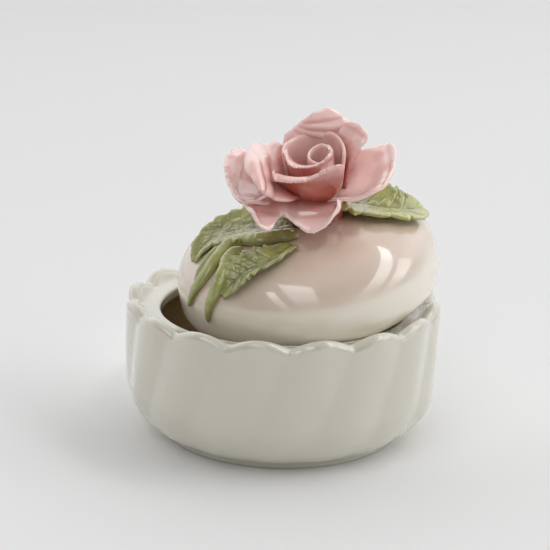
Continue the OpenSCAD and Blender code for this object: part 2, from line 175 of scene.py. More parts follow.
# ----------------------------------------------------------------- materials
def glaze(name, light, dark, rough=0.22, coat=1.0, coat_rough=0.03, sss=0.12, sss_r=(1.0, 0.55, 0.4),
          peel=0.12, peel_scale=140.0, coat_ior=1.65, tone=False, mottle=0.35, mottle_scale=60.0, speckle=0.0, speck_col=None):
    m = bpy.data.materials.new(name)
    m.use_nodes = True
    nt = m.node_tree
    nt.nodes.clear()
    N, Lk = nt.nodes.new, nt.links.new
    out = N("ShaderNodeOutputMaterial")
    b = N("ShaderNodeBsdfPrincipled")
    Lk(b.outputs[0], out.inputs[0])
    b.inputs["Roughness"].default_value = rough
    b.inputs["IOR"].default_value = 1.5
    b.inputs["Coat Weight"].default_value = coat
    b.inputs["Coat Roughness"].default_value = coat_rough
    b.inputs["Coat IOR"].default_value = coat_ior
    b.inputs["Subsurface Weight"].default_value = sss
    b.inputs["Subsurface Radius"].default_value = sss_r
    b.inputs["Subsurface Scale"].default_value = 0.0015
    tc = N("ShaderNodeTexCoord")
    ns = N("ShaderNodeTexNoise")
    ns.inputs["Scale"].default_value = mottle_scale
    ns.inputs["Detail"].default_value = 4
    Lk(tc.outputs["Object"], ns.inputs["Vector"])
    mix = N("ShaderNodeMix")
    mix.data_type = "RGBA"
    mix.inputs["A"].default_value = (*dark, 1)
    mix.inputs["B"].default_value = (*light, 1)
    if tone:
        at = N("ShaderNodeAttribute")
        at.attribute_name = "tone"
        ma = N("ShaderNodeMath")
        ma.operation = "MULTIPLY_ADD"
        Lk(ns.outputs["Fac"], ma.inputs[0])
        ma.inputs[1].default_value = mottle
        Lk(at.outputs["Fac"], ma.inputs[2])
        sb = N("ShaderNodeMath")
        sb.operation = "SUBTRACT"
        sb.use_clamp = True
        Lk(ma.outputs[0], sb.inputs[0])
        sb.inputs[1].default_value = mottle / 2
        Lk(sb.outputs[0], mix.inputs["Factor"])
    else:
        mr = N("ShaderNodeMapRange")
        mr.inputs["From Min"].default_value = 0.3
        mr.inputs["From Max"].default_value = 0.7
        mr.inputs["To Min"].default_value = 1 - mottle
        mr.inputs["To Max"].default_value = 1
        Lk(ns.outputs["Fac"], mr.inputs["Value"])
        Lk(mr.outputs["Result"], mix.inputs["Factor"])
    col = mix.outputs["Result"]
    if speckle:
        vo = N("ShaderNodeTexNoise")
        vo.inputs["Scale"].default_value = 900
        vo.inputs["Detail"].default_value = 2
        Lk(tc.outputs["Object"], vo.inputs["Vector"])
        cr = N("ShaderNodeMapRange")
        cr.inputs["From Min"].default_value = 0.6
        cr.inputs["From Max"].default_value = 0.75
        cr.inputs["To Max"].default_value = speckle
        Lk(vo.outputs["Fac"], cr.inputs["Value"])
        m2 = N("ShaderNodeMix")
        m2.data_type = "RGBA"
        Lk(cr.outputs["Result"], m2.inputs["Factor"])
        Lk(col, m2.inputs["A"])
        m2.inputs["B"].default_value = (*(speck_col or dark), 1)
        col = m2.outputs["Result"]
    Lk(col, b.inputs["Base Color"])
    bn = N("ShaderNodeTexNoise")
    bn.inputs["Scale"].default_value = peel_scale
    bn.inputs["Detail"].default_value = 3
    Lk(tc.outputs["Object"], bn.inputs["Vector"])
    bp = N("ShaderNodeBump")
    bp.inputs["Strength"].default_value = peel
    bp.inputs["Distance"].default_value = 0.001
    Lk(bn.outputs["Fac"], bp.inputs["Height"])
    Lk(bp.outputs["Normal"], b.inputs["Normal"])
    Lk(bp.outputs["Normal"], b.inputs["Coat Normal"])
    return m


# the dark colour of the white glaze is painted warm shade, used only inside the box
M_bowl = glaze("porcelain_white", (0.69, 0.665, 0.56), (0.80, 0.60, 0.34), peel=0.05, peel_scale=90, tone=True, mottle=0.05, mottle_scale=45)
# the lid's light colour is raised for the low band as painted light from below; the dark pinkish brown is painted shade
# near the rose
M_lid = glaze("porcelain_ivory", (0.915, 0.86, 0.745), (0.67, 0.51, 0.41), peel=0.035, peel_scale=60, tone=True, mottle=0.25, mottle_scale=40)
# the dark red is painted shade, for the petal bases and the receptacle
M_rose = glaze("rose_pink", (0.98, 0.70, 0.66), (0.45, 0.085, 0.05), peel=0.12, peel_scale=220, tone=True, mottle=0.3, mottle_scale=160, sss=0.25, coat_ior=1.8)
# the dark olive is painted shade in the leaves' grooves and dips
M_leaf = glaze("leaf_green", (0.45, 0.465, 0.135), (0.11, 0.115, 0.012), peel=0.5, peel_scale=420, tone=True, mottle=0.4, mottle_scale=220,
               sss=0.08, rough=0.3, coat_rough=0.05)
M_stem = glaze("stem_green", (0.43, 0.445, 0.125), (0.10, 0.105, 0.012), peel=0.22, peel_scale=380, tone=True, mottle=0.4, mottle_scale=200,
               sss=0.08, rough=0.28, coat_rough=0.05)

# ---------------------------------------------------------------------- bowl
BR, BH, WAVE, NF, DEPTH, SWIRL, RIM = 40.0, 35.0, 2.3, 16, 1.2, 19.0, 3.2
HOLE, LEDGE, FLOOR = 31.0, 31.8, 3.0
FR, FH, FW = 31.0, 1.6, 3.5
CUSP = 273.2


def flute(a, e=0.1):
    return np.sqrt(np.sin(rad((a - CUSP) * NF / 2)) ** 2 + e * e) / np.sqrt(1 + e * e)


def wall_r(z):
    t = np.clip((z - FH) / 12, 0, 1)
    return FR + 0.5 + (BR - FR - 0.5) * (1 - (1 - t) ** 2) ** 0.75


def skin_r(z, a):
    e = 0.34 - 0.22 * smooth((z - 24) / 10)
    fl = flute(a + SWIRL * (BH - z) / BH, e)
    return wall_r(z) - DEPTH * np.minimum(1, 0.3 + 0.7 * (z - FH) / 8) * (1 - fl) / (1 - 0.0 * e)


def build_bowl():
    cols = NF * 36
    a = np.arange(cols) * 360.0 / cols
    rz = BH - WAVE * (1 - flute(a, 0.13))
    rc = skin_r(BH + 0 * a, a) - RIM / 2
    prof = []                                     # list of (r(a), z(a))
    one = np.ones(cols)
    # underside of the floor, foot ring
    for r in (0.02, 9, 18, 25, FR - FW - 0.8):
        prof.append((r * one, FH * one))
    for b in np.linspace(90, 0, 5):
        prof.append(((FR - FW - 0.5 + 0.5 * math.cos(math.radians(b))) * one, (FH - 0.5 + 0.5 * math.sin(math.radians(b))) * one))
    for b in np.linspace(180, 270, 6):
        prof.append(((FR - FW + 0.6 + 0.6 * math.cos(math.radians(b))) * one, (0.6 + 0.6 * math.sin(math.radians(b))) * one))
    for b in np.linspace(270, 360, 6):
        prof.append(((FR - 0.6 + 0.6 * math.cos(math.radians(b))) * one, (0.6 + 0.6 * math.sin(math.radians(b))) * one))
    prof.append((FR * one, 1.1 * one))
    # wall
    s0 = skin_r(FH + 0.02 + 0 * a, a)
    prof.append((FR + 0.12 + 0 * a, FH - 0.12 + 0 * a))
    prof.append((FR + 0.35 * (s0 - FR), FH + 0 * a))
    zs = np.linspace(0, 1, 46)
    for s in zs[1:]:
        z = FH + (rz - RIM / 2 - FH) * math.sin(math.radians(90 * s)) ** 1.15
        prof.append((skin_r(z, a), z))
    # rounded rim
    for b in np.linspace(8, 150, 16):
        prof.append((rc + RIM / 2 * math.cos(math.radians(b)), rz - RIM / 2 + RIM / 2 * math.sin(math.radians(b))))
    s = prof[-1]
    # dished ledge
    e_r, e_z = HOLE + 1.0, LEDGE
    for t in np.linspace(0, 1, 15)[1:]:
        zz = s[1] + (LEDGE + 0.55 - s[1]) * smooth(2.2 * t)
        z = zz + (e_z - zz) * smooth(t)
        prof.append((s[0] + (e_r - s[0]) * t, z))
    # rounded edge of the opening
    for b in np.linspace(90, 180, 8)[1:]:
        prof.append(((HOLE + 1.0 + 1.0 * math.cos(math.radians(b))) * one, (LEDGE - 1.0 + 1.0 * math.sin(math.radians(b))) * one))
    prof.append((HOLE * one, (LEDGE - 2.0) * one))
    for b in np.linspace(180, 250, 6):
        prof.append(((HOLE + 0.9 + 0.9 * math.cos(math.radians(b))) * one, (LEDGE - 2.2 + 0.9 * math.sin(math.radians(b))) * one))
    # cavity
    first_inside = len(prof) - 3
    wall = BR - 4.3
    base = FH + FLOOR
    for t in np.linspace(0, 1, 8)[1:]:
        prof.append(((HOLE + 0.6 + (wall - 1.2 - HOLE - 0.6) * t) * one, (LEDGE - 3.1 + (-5.0 + 3.1) * t) * one))
    for b in np.linspace(75, 0, 5):
        prof.append(((wall - 2 + 2 * math.cos(math.radians(b))) * one, (LEDGE - 7.2 + 2 * math.sin(math.radians(b))) * one))
    for z in np.linspace(LEDGE - 8.5, base + 9.5, 6):
        prof.append((wall * one, z * one))
    for b in np.linspace(90, 0, 14):
        prof.append(((wall - 9 + 9 * math.sin(math.radians(b))) * one, (base + 9 - 9 * math.cos(math.radians(b))) * one))
    for r in (22, 15, 8, 0.02):
        prof.append((r * one, base * one))
    rings = [np.stack([r * np.cos(rad(a)), r * np.sin(rad(a)), z], -1) for r, z in prof]
    # hand-made unevenness of the skin, at most about 0.15 mm
    v, f = revolve(rings, cols)
    f.append(tuple(range(cols))[::-1])
    n = len(rings)
    f.append(tuple((n - 1) * cols + i for i in range(cols)))
    out = np.hypot(v[:, 0], v[:, 1])
    w = smooth((out - 33) / 3)[:, None] * unit(v * np.array([1, 1, 0]))
    d = 0.12 * noise2(v[:, 0] / 9 + 20 + v[:, 1] / 11, v[:, 2] / 9 + 7 + v[:, 1] / 13, 3)
    v = v + w * d[:, None]
    ring = np.repeat(np.arange(n), cols)
    # painted shade: the cavity's inside is tinted towards the warm dark colour, standing in for the deep shade in the
    # box
    inside = smooth((ring - first_inside) / 4.0)
    ob = make("bowl_skin", v, f, M_bowl, {"tone": 1 - 0.9 * inside})
    stands_for(ob, "bowl", "bowl")
    return ob


build_bowl()

# ----------------------------------------------------------------------- lid
TILT, TAZ = 14.0, 220.0
LC = np.array([6.5, 4.0, 38.15])
ML = rotz(TAZ) @ roty(TILT) @ rotz(-TAZ)
LR, LH, LN, LD, LW = 33.5, 17.0, 3.1, 5.9, 3.0
LRB = 0.83 * LR
FLR, FLH = 27.0, 2.6


def from_lid(p):
    return p @ ML.T + LC


def build_lid():
    cols = 360
    a = np.arange(cols) * 360.0 / cols
    pr = []
    for t in 90 * (1 - np.linspace(0, 1, 90)[1:] ** 1.5):
        pr.append((LR * max(0, math.cos(math.radians(t))) ** (2 / LN), LH * math.sin(math.radians(t)) ** (2 / LN)))
    for b in np.linspace(0, 90, 22)[1:]:
        pr.append((LRB + (LR - LRB) * math.cos(math.radians(b)), -LD * math.sin(math.radians(b))))
    for b in np.linspace(90, 180, 5)[1:]:
        pr.append((FLR + 0.4 + 0.4 * math.cos(math.radians(b)), -LD - 0.4 + 0.4 * math.sin(math.radians(b))))
    pr.append((FLR, -LD - FLH + 1.0))
    for b in np.linspace(0, -180, 13):
        pr.append((FLR - 1.4 + 1.4 * math.cos(math.radians(b)), -LD - FLH + 1.4 + 1.4 * math.sin(math.radians(b))))
    pr.append((FLR - 2.8, -LD + 0.4))
    for b in np.linspace(180, 110, 5):
        pr.append((FLR - 0.8 + 2.0 * math.cos(math.radians(b)), -LD + 0.9 + 2.0 * math.sin(math.radians(b))))
    pr.append((FLR + 1.6, -2.2))
    ri, hi = LR - LW, LH - LW
    for t in np.linspace(6, 90, 60)[:-1]:
        pr.append((ri * math.cos(math.radians(t)) ** (2 / LN), hi * math.sin(math.radians(t)) ** (2 / LN)))
    rings = [np.stack([r * np.cos(rad(a)), r * np.sin(rad(a)), z + 0 * a], -1) for r, z in pr]
    v, f = revolve(rings, cols)
    f = [q[::-1] for q in f]
    nv = len(v)
    v = np.concatenate([v, [[0, 0, LH], [0, 0, hi]]])
    n = len(rings)
    for i in range(cols):
        j = (i + 1) % cols
        f.append((i, j, nv)[::1])
        f.append(((n - 1) * cols + j, (n - 1) * cols + i, nv + 1))
    # painted shade and light: the glaze is darkened to pinkish brown towards the rose, standing in for the rose's shade
    # on the lid, and the low band under about z = 3 mm keeps the light colour, painted light from below
    near = np.hypot(v[:, 0] - 1.5, v[:, 1] + 4.0)
    tone = 0.15 + 0.85 * smooth((near - 9) / 24.0) * (1 - 0.80 * smooth((v[:, 2] - 3) / 7.0))
    ob = make("lid_dome", from_lid(v), f, M_lid, {"tone": tone})
    stands_for(ob, "lid", "lid")
    return ob


build_lid()

# ---------------------------------------------------------------------- rose
RB = np.array([7.8, 0.5, 53.5])
RT, RTAZ = 24.0, 268.0
MR = rotz(RTAZ) @ roty(RT) @ rotz(-RTAZ)


def from_rose(p):
    return p @ MR.T + RB


GX, GW = np.polynomial.legendre.leggauss(10)
GX, GW = (GX + 1) / 2, GW / 2


def petal_grid(p, nu, nv):
    """One petal: a strip L long that leaves the rose's axis, leaning outwards from a0 to a1 degrees, and curls
    round its own length with curvature k0 at the base and k1 at the lip. u runs across, v from base to lip."""
    g = p.get
    s = np.linspace(-1, 1, nu)
    us = 0.35 * s + 0.65 * np.sin(np.pi / 2 * s)
    q = np.linspace(0, 1, nv)
    vs = 0.35 * q + 0.65 * (1 - (1 - q) ** 1.9)
    vs = vs * (1 + g("root", 0)) - g("root", 0)
    u, v = np.meshgrid(us, vs)
    L = g("L")
    edge = curve_rows([[e] for e in g("ed")], (u + 1) / 2)[..., 0] if g("ed") else 0.0
    seed = g("seed", 1)
    bite = g("jag", 0.3) * noise1(u * g("jf", 11), seed, 3) - g("nick", 0.25) * np.abs(noise1(u * 23, seed + 9, 2)) ** 1.5 * 2
    full = 1 - g("rd", 0.25) * np.abs(u) ** g("rp", 2.4) + edge / L - g("cr", 2.2) / L * np.clip((np.abs(u) - 0.68) / 0.32, 0, 1) ** 3
    t = v * full + bite / L * smooth((v - 0.88) / 0.12)

    def lean_at(t):
        a = g("a0") + (g("a1") - g("a0")) * t + g("curl", 0) * np.clip((t - g("tc", 0.7)) / (1 - g("tc", 0.7)), 0, 9) ** 2
        a = a + g("uc", 0) * u * t
        if g("lip", 0):
            tl = 1 - g("ll", 2.2) / L
            a = a + g("lip") * smooth((t / full - tl) / (1 - tl) * 2.6) * (0.75 + 0.25 * noise1(u * 2.1, seed + 4, 1)) * (1 - smooth((np.abs(u) - g("le", 0.8)) / (1 - g("le", 0.8))))
        return a

    n = 40
    r, z = g("r0") + 0 * t, g("z0") + 0 * t
    for k in range(n):
        a = lean_at(t * (k + 0.5) / n)
        r = r + np.sin(rad(a)) * L * t / n
        z = z + np.cos(rad(a)) * L * t / n
    at = lean_at(t)
    w = g("w0") + (g("w") - g("w0")) * np.sin(rad(90 * np.clip(v / g("wp", 0.5), 0, 1)))
    if g("trim"):                                  # one side of the base cut narrower, so petals nest behind each other
        side_, cut, upto = g("trim")
        w = w * (1 - cut * (1 - smooth(v / upto)) * smooth(u * side_ * 2))
    kap = g("k0") + (g("k1") - g("k0")) * v
    ks = g("ks", 0)
    x, d = 0 * u, 0 * u
    for gx, gw in zip(GX, GW):
        ph = w * kap * (u * gx + ks * (u * gx) ** 2 / 2)
        x, d = x + gw * u * w * np.cos(ph), d + gw * u * w * np.sin(ph)
    d = d - g("sr", 0) * np.clip((u - 0.45) / 0.55, 0, 1) ** 2 * v - g("sl", 0) * np.clip((-u - 0.45) / 0.55, 0, 1) ** 2 * v
    d = d + g("fr", 0.0) * noise1(u * g("ff", 2.6) + 3, seed + 20, 2) * np.maximum(v, 0) ** 1.5
    x = x + g("skew", 0) * np.maximum(t, 0) ** 1.5 + g("x0", 0)
    P = np.stack([r - d * np.cos(rad(at)), x, z + d * np.sin(rad(at))], -1)
    # folds across the petal and thumb marks in the clay
    Nn = unit(np.cross(np.gradient(P, axis=1), np.gradient(P, axis=0)))
    sl = u * w
    h = g("thumb", 0.12) * noise2(sl / 3.2 + 9, v * L / 3.6 + 5, seed + 40) * smooth(v * 3)
    for vc, hh, sg, tilt in g("folds", []):
        h = h + hh * np.exp(-((t - vc - tilt * u) / sg) ** 2)
    P = P + Nn * h[..., None]
    return P @ rotz(g("az")).T, u, v, bite


# tb and te set the painted tone at each petal's base and lip: dark bases are painted shade among the petals, and petals
# in more light get a lighter tone, painted light
PETALS = {
    "petal_heart": dict(az=190, r0=2.52, z0=5.9, L=15.2, a0=-2.4, a1=-1.2, curl=12, tc=.85, w0=8.6, w=9.8, k0=.40, k1=.365, ks=.12, rd=-.03, rp=2, cr=0, ed=[-.1, .3, 0, -.5, .4], uc=-4.4, skew=.5, wp=.3, jag=.10, jf=5, nick=.05, seed=2, th=.95, tb=.6, te=1.0, thumb=.05),
    "petal_inner_scroll": dict(az=261, r0=6.3, z0=6.1, L=18.3, a0=1, a1=6.6, curl=-3.5, tc=.86, w0=8, w=9.2, k0=.18, k1=.186, ks=.304, rd=.042, rp=2, cr=.3, ed=[-.9, -.7, .3, .1, -1.4], uc=-2.9, skew=-1.4, wp=.3, jag=.22, nick=.35, lip=88, ll=2.7, le=.75, seed=5, th=.95, tb=.1, te=.76, v0=.6, v1=.95, thumb=.06),
    "petal_inner_back": dict(az=84.6, r0=5.2, z0=6.1, L=17.2, a0=.8, a1=11.6, curl=-11, tc=.8, w0=10, w=12.0, k0=.174, k1=.133, rd=.032, rp=2.2, ed=[.3, 1.2, -.1, -1.0, 0], uc=-1, skew=1.05, wp=.4, jag=.2, jf=6, nick=.12, seed=7, th=1.0, tb=.15, te=.9),
    "petal_inner_front": dict(az=256, r0=7.1, z0=12.1, L=15.9, a0=48, a1=-3.3, curl=-17, tc=.82, w0=3.5, w=8.5, k0=.06, k1=.056, rd=.036, rp=2, cr=1.0, ed=[-.6, -.8, -.5, .6, 1.4], uc=-20, skew=.6, wp=.7, root=.35, jag=.26, nick=.5, lip=92, ll=3.3, le=.8, seed=11, th=1.05, tb=.0, te=.61, v0=.70, v1=.93),
    "petal_left_inner": dict(trim=(-1, .5, .62), az=184, r0=5.2, z0=13.3, L=16.6, a0=50, a1=26.5, curl=80, tc=.7, w0=8.7, w=13, k0=.047, k1=-.028, rd=.176, rp=2.6, ed=[-.9, .4, 1.0, 1.2, 1.3], uc=-22.8, skew=8.2, wp=.5, root=.3, jag=.2, jf=6, nick=.15, fr=.35, folds=[(.52, .8, .10, .02), (.80, .6, .08, -.03)], seed=13, th=1.1, tb=.0, te=.68, v0=0, v1=.7),
    "petal_left_outer": dict(az=183, r0=6.75, z0=6.5, L=19.1, a0=70.6, a1=51, curl=-38, tc=.7, w0=7, w=11.9, k0=.103, k1=.046, rd=.057, rp=2.6, ed=[.1, 1.1, .3, -.5, 1.0], uc=-2.3, skew=.6, wp=.5, jag=.3, nick=.4, fr=.4, folds=[(.72, .7, .09, .05)], seed=17, th=1.1, tb=.2, te=1.1, v0=0, v1=.6),
    "petal_back": dict(az=86.9, r0=7.3, z0=-.2, L=30.0, a0=-.9, a1=-4.5, curl=41, tc=.7, w0=5.5, w=10.1, k0=.09, k1=-.077, rd=.349, rp=1.9, cr=0, uc=-4, skew=-1.6, wp=.55, jag=.2, jf=6, nick=.08, fr=.4, folds=[(.70, .55, .035, .06), (.79, .6, .03, .02), (.88, .5, .03, -.05)], seed=19, th=1.1, tb=.3, te=1.1, v0=.3, v1=.85),
    "petal_back_right": dict(trim=(1, .35, .5), az=31.9, r0=5.95, z0=13.2, L=14.6, a0=16.2, a1=19.7, curl=21, tc=.65, w0=7, w=3.6, k0=.0756, k1=.04, rd=.14, rp=3, cr=.9, ed=[.1, -.3, .3, .3, .1], uc=-17.6, skew=-1.8, wp=.5, root=.6, jag=.15, jf=5, nick=.1, fr=.3, folds=[(.85, .6, .09, 0)], seed=23, th=1.1, tb=.1, te=1.05, v0=.2, v1=.85),
    "petal_right": dict(trim=(1, .45, .62), az=-12.7, r0=4.66, z0=10.9, L=18.4, a0=59.8, a1=51, curl=-38, tc=.7, w0=10.2, w=10.8, x0=.9, k0=.063, k1=.038, rd=.11, rp=3, cr=2.8, ed=[.2, .7, 0, .4, -1.2], uc=-6, skew=-1.4, wp=.4, root=.2, jag=.2, jf=5, nick=.15, fr=.3, folds=[(.55, 1.1, .22, .05), (.86, .4, .07, -.08)], seed=29, th=1.1, tb=.8, te=1.3, v0=0, v1=.35),
    "petal_front": dict(az=271, r0=8.5, z0=13.7, L=8.2, a0=94, a1=113, curl=0, tc=.6, w0=10.5, w=11.7, k0=-.008, k1=.088, rd=.03, rp=2.6, ed=[1.4, 2.0, 1.7, -3.2, -.6, 1.9, 2.0, .8, -1.2], uc=0, x0=-5.5, wp=.3, root=.5, jag=.2, jf=7, nick=.2, fr=.2, folds=[(.62, .6, .14, .06)], seed=31, th=1.1, tb=.2, te=.95),
}


def build_petal(name, p, nu=150, nv=110):
    P, u, v, bite = petal_grid(p, nu, nv)
    P = from_rose(P)
    verts, faces, inner = thin_shell(P, p["th"])
    # painted shade: each petal darkens from lip to base, where the petals shade each other
    tone = p["tb"] + (p["te"] - p["tb"]) * smooth((v - p.get("v0", 0)) / (p.get("v1", 0.9) - p.get("v0", 0)))
    ob = make(name + "_clay", verts, faces, M_rose, {"tone": spread(tone, inner)})
    stands_for(ob, name, "lid")
    return ob


for n_, p_ in PETALS.items():
    build_petal(n_, p_)


def build_receptacle():
    cols = 96
    a = np.arange(cols) * 360.0 / cols
    pts = curve_rows([[0.05, -4], [7.2, -4], [7.0, -1], [6.8, 2], [6.6, 5], [6.2, 8], [5.2, 10], [3.4, 11.4], [1.6, 12], [0.05, 12.2]], np.linspace(0, 1, 60))
    rings = []
    for r, z in pts:
        rr = max(r, 0.05) * (1 + 0.035 * noise1(np.cos(rad(a)) * 2 + np.sin(rad(a)) * 1.3 + z * 0.4 + 9, 77, 2))
        rings.append(np.stack([rr * np.cos(rad(a)), rr * np.sin(rad(a)), z + 0 * a], -1))
    v, f = revolve(rings, cols)
    f.append(tuple(range(cols))[::-1])
    f.append(tuple((len(rings) - 1) * cols + i for i in range(cols)))
    # painted shade: the receptacle is coloured almost wholly with the dark red, as it sits in the shade under the
    # petals
    ob = make("rose_receptacle_clay", from_rose(v), f, M_rose, {"tone": np.full(len(v), 0.05)})
    stands_for(ob, "rose_receptacle", "lid")


build_receptacle()


# ----------------------------------------------------------- leaves and stems
def dome_rz(psi):
    s, c = np.sin(rad(psi)), np.cos(rad(psi))
    up = (np.abs(s) / LR) ** LN + (np.maximum(np.abs(c), 1e-6) / LH) ** LN
    lo = (np.abs(s) / LR) ** 2 + (np.abs(c) / (1.35 * LD)) ** 2
    rho = np.where(c >= 0, up ** (-1 / LN), lo ** -0.5)
    return rho * s, rho * c


def on_dome(az, psi, h):
    r, z = dome_rz(psi)
    r1, z1 = dome_rz(psi + 0.4)
    r0, z0 = dome_rz(psi - 0.4)
    tr, tz = r1 - r0, z1 - z0
    l = np.hypot(tr, tz)
    r, z = r - tz / l * h, z + tr / l * h
    return np.stack([r * np.cos(rad(az)), r * np.sin(rad(az)), z], -1)


def path_frame(path, t):
    q = curve_rows(path, t)
    p = on_dome(q[..., 0], q[..., 1], q[..., 2])
    e = 0.015
    qa, qb = curve_rows(path, np.clip(t + e, 0, 1)), curve_rows(path, np.clip(t - e, 0, 1))
    along = unit(on_dome(qa[..., 0], qa[..., 1], qa[..., 2]) - on_dome(qb[..., 0], qb[..., 1], qb[..., 2]))
    up = unit(on_dome(q[..., 0], q[..., 1], q[..., 2] * 0 + 1) - on_dome(q[..., 0], q[..., 1], q[..., 2] * 0))
    side = unit(np.cross(up, along))
    return p, along, up, side


def build_leaf(name, path, width, teeth, bite, left, right, fold, seed, th=1.0, nu=70, nv=200, wr=1.0, veins=0.22, wave=0.3, shade=0.6):
    us = np.linspace(-1, 1, nu)
    us = 0.5 * us + 0.5 * np.sin(np.pi / 2 * us)
    vs = np.linspace(0, 1, nv)
    u, v = np.meshgrid(us, vs)
    t = 0.01 + 0.98 * v
    p, along, up, side = path_frame(path, t)
    half = curve_rows([[w_] for w_ in width], t)[..., 0]
    half = np.where(u > 0, half * wr, half)
    nt = teeth * t + 0.3 * noise1(t * 3, seed, 1)
    saw = nt - np.floor(nt)
    saw = np.where(saw < 0.72, saw / 0.72, (1 - saw) / 0.28)
    amp = bite * (0.7 + 0.5 * noise1(np.floor(nt) * 1.7, seed + 3, 1)) * np.minimum(1, 4 * (1 - t)) * np.minimum(1, 5 * t)
    half = half + amp * (saw - 0.6) * smooth((np.abs(u) - 0.55) / 0.45) * np.minimum(1, half / 2.5)
    half = np.maximum(half, 0.25)
    lift = np.where(u < 0, left, right) * np.abs(u) ** 1.7 * np.sin(np.pi * np.clip(t, 0, 1)) ** 0.7
    dy = fold * np.abs(u) * half / 3.0
    # veins pressed into the clay
    ph = (t * teeth * 1.0 - np.abs(u) * 1.1)
    vein = -veins * (np.exp(-((ph - np.round(ph)) / 0.10) ** 2) * smooth(np.abs(u) * 6) * (1 - smooth((np.abs(u) - 0.85) / 0.15))
                     + 1.1 * np.exp(-(u * half / 0.35) ** 2))
    rough = (0.13 * noise2(u * half / 1.7 + 10, t * 11 + 4, seed + 7) + 0.05 * noise2(u * half / 0.7 + 20, t * 27 + 4, seed + 6)
             + 0.035 * noise2(u * half / 0.35 + 30, t * 55 + 4, seed + 5))
    ruff = wave * noise1(t * 6 + (u > 0) * 17, seed + 12, 2) * np.abs(u) ** 2
    P = p + side * (u * half)[..., None] + up * (lift + dy + vein + rough + ruff)[..., None]
    P = from_lid(P)
    verts, faces, inner = thin_shell(P, th)
    # painted shade and highlight: darker in the vein grooves and dips of the crinkles, lighter on raised crinkles and
    # towards the edges; shade sets each leaf's overall level
    tone = shade + 0.25 * np.abs(u) + 0.16 * vein / max(veins, 0.05) + 0.2 * noise2(u * 3 + 9, t * 9 + 3, seed + 8) + 1.2 * rough
    ob = make(name + "_clay", verts, faces, M_leaf, {"tone": spread(np.clip(tone, 0, 1), inner)})
    stands_for(ob, name, "lid")
    return ob


L_left = [[266, 25, 0.7], [212, 33, 0.8], [194, 44, 0.9], [191, 56, 0.9], [199, 66, 0.5]]
L_front = [[266, 46, 0.8], [252, 55, 0.9], [241, 61, 0.9], [236, 66, 0.8], [231, 73, 0.5]]
L_right = [[22, 34, 0.6], [2, 44, 1.0], [-5, 53, 1.2], [-4, 62, 1.5], [5, 70, 2.2]]
build_leaf("leaf_left", L_left, [5.0, 6.2, 7.8, 6.8, 4.2, 0.6], 10, 1.6, 2.0, 0.3, 0.3, 51, veins=0.12, shade=0.5)
build_leaf("leaf_front", L_front, [1.6, 3.6, 4.8, 5.0, 4.0, 1.0], 8, 1.3, 0.9, 1.8, 0.6, 53, veins=0.12, shade=0.32)
build_leaf("leaf_right", L_right, [3.0, 6.6, 7.6, 7.2, 5.6, 1.6], 7, 2.1, 0.3, 2.8, 0.3, 57, veins=0.13, shade=0.75)


def build_stem(name, path, d0, d1, seed, rings=90, sides=28, flat=0.85):
    t = np.linspace(0, 1, rings)
    p, along, up, side = path_frame(path, t)
    up2 = np.cross(along, side)
    up2 = up2 * np.sign((up2 * up).sum(-1, keepdims=True))
    r = (d0 + (d1 - d0) * t ** 3) / 2
    r = r * (1 + 0.10 * noise1(t * 7, seed, 2))
    r = r * np.sqrt(np.clip(1 - (1 - np.minimum(t / 0.03, 1)) ** 2, 0.02, 1)) * np.sqrt(np.clip(1 - (1 - np.minimum((1 - t) / 0.05, 1)) ** 2, 0.015, 1))
    r = r * (0.45 + 0.55 * smooth(t / 0.10))
    b = np.arange(sides) * 2 * np.pi / sides
    groove = 1 + 0.07 * np.cos(3 * b[None] + 2.0 * noise1(t * 3, seed + 5, 1)[:, None])
    groove = groove + 0.05 * noise2(t[:, None] * 34 + 5, np.cos(b)[None] * 1.5 + 5 + 0 * t[:, None], seed + 9) + 0.035 * noise2(t[:, None] * 80 + 5, np.sin(b)[None] * 2.2 + 9 + 0 * t[:, None], seed + 10)
    v = p[:, None] + (r[:, None] * groove)[..., None] * (np.cos(b)[None, :, None] * side[:, None] + flat * np.sin(b)[None, :, None] * up2[:, None])
    rngs = [from_lid(v[k]) for k in range(rings)]
    vv, f = revolve(rngs, sides)
    f.append(tuple(range(sides))[::-1])
    f.append(tuple((rings - 1) * sides + i for i in range(sides)))
    # painted shade: the stem darkens over its first 15 percent, at the root under the rose
    tone = np.repeat(0.75 + 0.2 * noise1(t * 5, seed + 2, 2) - 0.3 * smooth((0.15 - t) / 0.15), sides)
    ob = make(name + "_clay", vv, f, M_stem, {"tone": np.clip(tone, 0, 1)})
    stands_for(ob, name, "lid")


S_long = [[270, 37, 0.8], [249, 37, 1.0], [233, 42, 1.2], [217, 45, 1.2], [210, 50, 1.2], [214, 58, 1.1], [216, 67, 0.9], [213, 74, 0.7], [209, 82, 0.4]]
S_short = [[226, 51, 1.4], [224, 57, 1.3], [227, 62, 1.2], [228, 67, 1.1], [227, 73, 0.9], [225, 77, 0.7], [223, 85, 0.4]]
S_side = [[205, 54, 1.0], [208, 61, 0.8], [209, 66, 0.6], [211, 71, 0.4]]
build_stem("stem_long", S_long, 4.0, 1.3, 61, rings=160)
build_stem("stem_short", S_short, 4.0, 1.1, 63, rings=120)
build_stem("stem_side", S_side, 2.0, 1.0, 67, rings=50)


